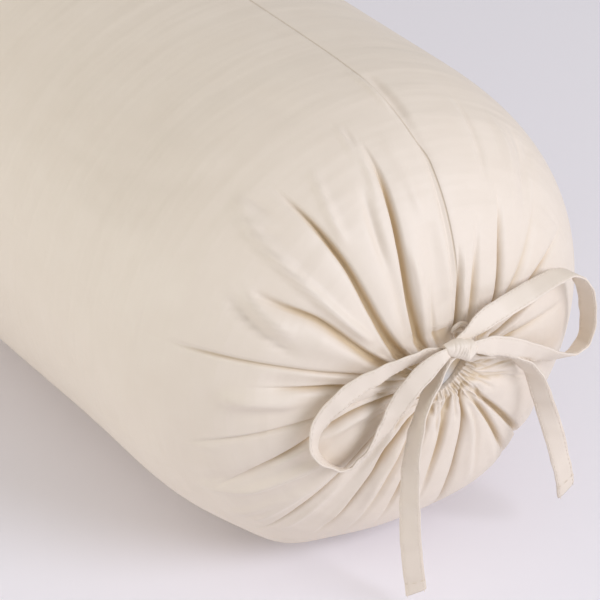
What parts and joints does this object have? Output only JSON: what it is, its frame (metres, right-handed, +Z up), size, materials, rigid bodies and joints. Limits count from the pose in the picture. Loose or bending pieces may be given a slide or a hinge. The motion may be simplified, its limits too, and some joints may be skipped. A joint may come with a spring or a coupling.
{
  "type": "bolster cushion",
  "caption": "Round filled bolster cushion in a sateen cover, its end gathered by a channel and tied in a bow with a flat tape.",
  "frame": {"origin": "on the surface the bolster lies on, under the middle of its length", "axes": "+X along the bolster towards its tied end, +Z up, the seam of the cover near the top"},
  "size_m": [0.9186, 0.2242, 0.2099],
  "materials": {
    "cover_cloth": "satin",
    "pillow_cloth": "matt",
    "tie_tape": "satin"
  },
  "bodies": {
    "root": {"cover": "cover_cloth", "pillow_end": "pillow_cloth", "bow_loop_left": "tie_tape", "bow_loop_right": "tie_tape", "tie_tail_left": "tie_tape", "tie_tail_right": "tie_tape", "tie_knot": "tie_tape"}
  },
  "joints": []
}
